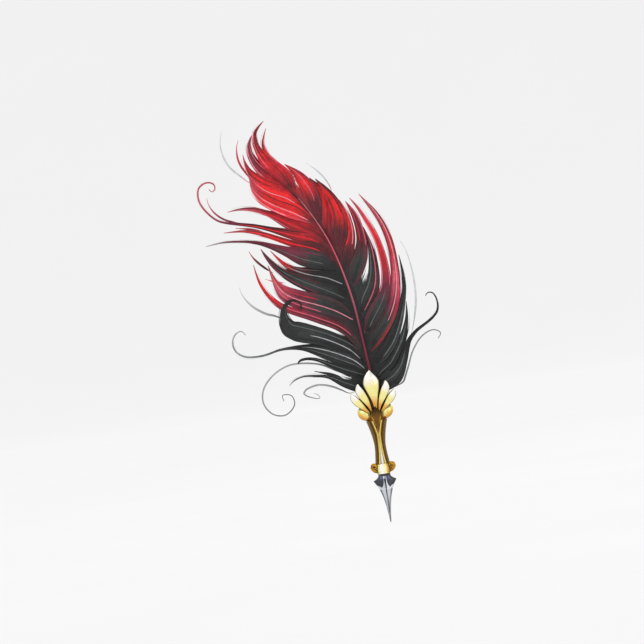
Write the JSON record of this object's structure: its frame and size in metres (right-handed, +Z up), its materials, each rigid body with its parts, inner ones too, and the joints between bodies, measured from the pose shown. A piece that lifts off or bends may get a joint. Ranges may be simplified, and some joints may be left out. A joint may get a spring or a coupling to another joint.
{
  "type": "feather dip pen",
  "caption": "Ornamental dip pen: a gilt holder with a petal crown and a slip-in split nib carries a large curved dyed feather with curling barbs.",
  "frame": {"origin": "on the holder axis at the waist of the stem, where the fingers hold it", "axes": "+Z up along the holder towards the plume, -Y out of the front face, +X to the right seen from the front"},
  "size_m": [0.1568, 0.0277, 0.2912],
  "materials": {
    "gilt": "antiqued gilt with dark shading, satin",
    "pale_gilt": "pale cream gilt fading to amber, polished",
    "brass": "bright drawn brass",
    "amber_resin": "amber resin bush",
    "spring_steel": "plain spring steel",
    "blued_steel": "dark blued steel, polished",
    "bright_steel": "bright polished steel",
    "quill": "dyed quill, pink at the tip and dark plum at the base",
    "barbs_scarlet": "dyed feather barbs, scarlet fading to maroon at the quill",
    "barbs_plum": "dyed feather barbs, plum",
    "barbs_charcoal": "dyed feather barbs, charcoal",
    "barbs_ink": "dyed feather barbs, near black",
    "barbs_ash": "thin undyed grey barbs"
  },
  "bodies": {
    "holder": {"stem_shell_left": "gilt", "stem_shell_right": "gilt", "core_tube": "brass", "collar_ring": "pale_gilt", "scroll_left": "gilt", "scroll_right": "gilt", "crown_cup": "gilt", "lobe_left": "gilt", "lobe_right": "gilt", "calamus_bush": "amber_resin", "nib_clip": "spring_steel", "petal_centre_front": "pale_gilt", "petal_inner_left_front": "pale_gilt", "petal_inner_right_front": "pale_gilt", "petal_outer_left_front": "pale_gilt", "petal_outer_right_front": "pale_gilt", "crown_tongue_front": "gilt", "petal_centre_back": "pale_gilt", "petal_inner_left_back": "pale_gilt", "petal_inner_right_back": "pale_gilt", "petal_outer_left_back": "pale_gilt", "petal_outer_right_back": "pale_gilt", "crown_tongue_back": "gilt"},
    "nib": {"nib_shank": "blued_steel"},
    "tine_left": {"nib_tine_left": "bright_steel"},
    "tine_right": {"nib_tine_right": "bright_steel"},
    "plume": {"rachis": "quill", "barb_left_01": "barbs_ink", "barb_left_02": "barbs_ink", "barb_left_03": "barbs_ink", "barb_left_04": "barbs_ink", "barb_left_05": "barbs_scarlet", "barb_left_06": "barbs_plum", "barb_left_07": "barbs_charcoal", "barb_left_08": "barbs_charcoal", "barb_left_09": "barbs_plum", "barb_left_10": "barbs_scarlet", "barb_left_11": "barbs_plum", "barb_left_12": "barbs_scarlet", "barb_left_13": "barbs_scarlet", "barb_left_14": "barbs_scarlet", "barb_left_15": "barbs_scarlet", "plume_tip_left": "barbs_scarlet", "plume_tip_middle": "barbs_scarlet", "plume_tip_right": "barbs_scarlet", "barb_right_01": "barbs_scarlet", "barb_right_02": "barbs_scarlet", "barb_right_03": "barbs_scarlet", "barb_right_04": "barbs_scarlet", "barb_right_05": "barbs_plum", "barb_right_06": "barbs_charcoal", "barb_right_07": "barbs_scarlet", "barb_right_08": "barbs_scarlet", "barb_right_09": "barbs_ink", "barb_right_10": "barbs_ink", "barb_right_11": "barbs_ink", "barb_right_12": "barbs_ink", "wisp_left": "barbs_ash", "wisp_right": "barbs_ash"}
  },
  "joints": [
    {"name": "plume_lift", "type": "slide", "parent": "holder", "child": "plume", "axis": [0, 0, 1], "range_m": [0, 0.06]},
    {"name": "nib_pull", "type": "slide", "parent": "holder", "child": "nib", "axis": [0, 0, -1], "range_m": [0, 0.014]},
    {"name": "tine_left_flex", "type": "hinge", "parent": "nib", "child": "tine_left", "pos_m": [-0.0025, 0, -0.0343], "axis": [0, 1, 0], "range_deg": [0, 3], "stiffness_Nm_per_rad": 0.8},
    {"name": "tine_right_flex", "type": "hinge", "parent": "nib", "child": "tine_right", "pos_m": [0.0025, 0, -0.0343], "axis": [0, -1, 0], "range_deg": [0, 3], "stiffness_Nm_per_rad": 0.8}
  ],
  "couplings": [
    {"joint": "tine_right_flex", "follows": "tine_left_flex", "ratio": 1}
  ]
}
